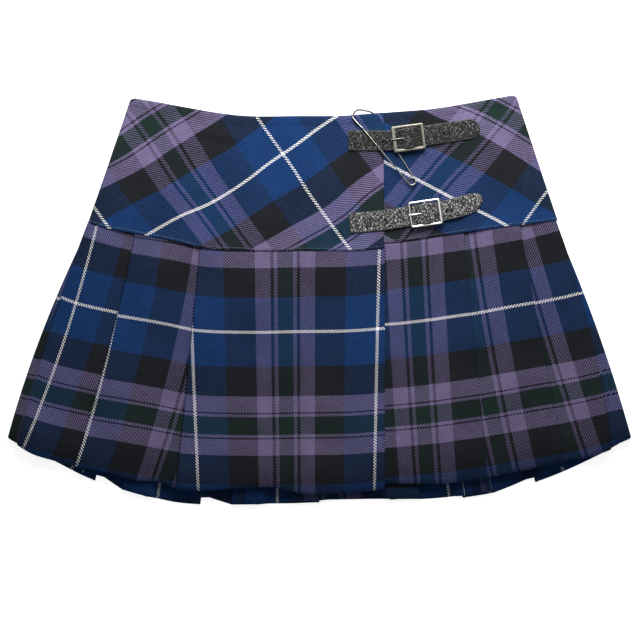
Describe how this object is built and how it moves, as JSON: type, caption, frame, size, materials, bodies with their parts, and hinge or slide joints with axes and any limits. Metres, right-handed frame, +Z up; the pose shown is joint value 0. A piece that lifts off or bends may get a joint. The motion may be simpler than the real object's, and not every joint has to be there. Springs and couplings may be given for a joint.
{
  "type": "kilt skirt",
  "caption": "Short pleated tartan kilt skirt laid flat, front up, with a hip yoke, an over apron, buckled leather straps and a kilt pin.",
  "frame": {"origin": "on the surface that the skirt lies on, under the middle of its outline", "axes": "+X across the skirt to the side with the strap ends, +Y towards the waist, +Z up from the surface, out of the front"},
  "size_m": [0.575, 0.3776, 0.0163],
  "materials": {
    "tartan": "matt brushed twill in a tartan of blue, black, purple and green with a white line",
    "strap_leather": "black pebbled leather with a soft gloss",
    "nickel": "dull nickel plate",
    "bright_chrome": "bright plate",
    "pin_steel": "drawn steel wire"
  },
  "bodies": {
    "root": {"apron_yoke": "tartan", "under_yoke": "tartan", "back_yoke": "tartan", "front_apron_skirt": "tartan", "front_under_skirt": "tartan", "back_skirt": "tartan", "strap_upper": "strap_leather", "strap_lower": "strap_leather", "buckle_tab_upper": "strap_leather", "buckle_tab_lower": "strap_leather", "buckle_frame_upper": "nickel", "prong_upper": "nickel", "buckle_frame_lower": "bright_chrome", "prong_lower": "bright_chrome", "kilt_pin": "pin_steel", "pin_cap": "pin_steel"}
  },
  "joints": []
}
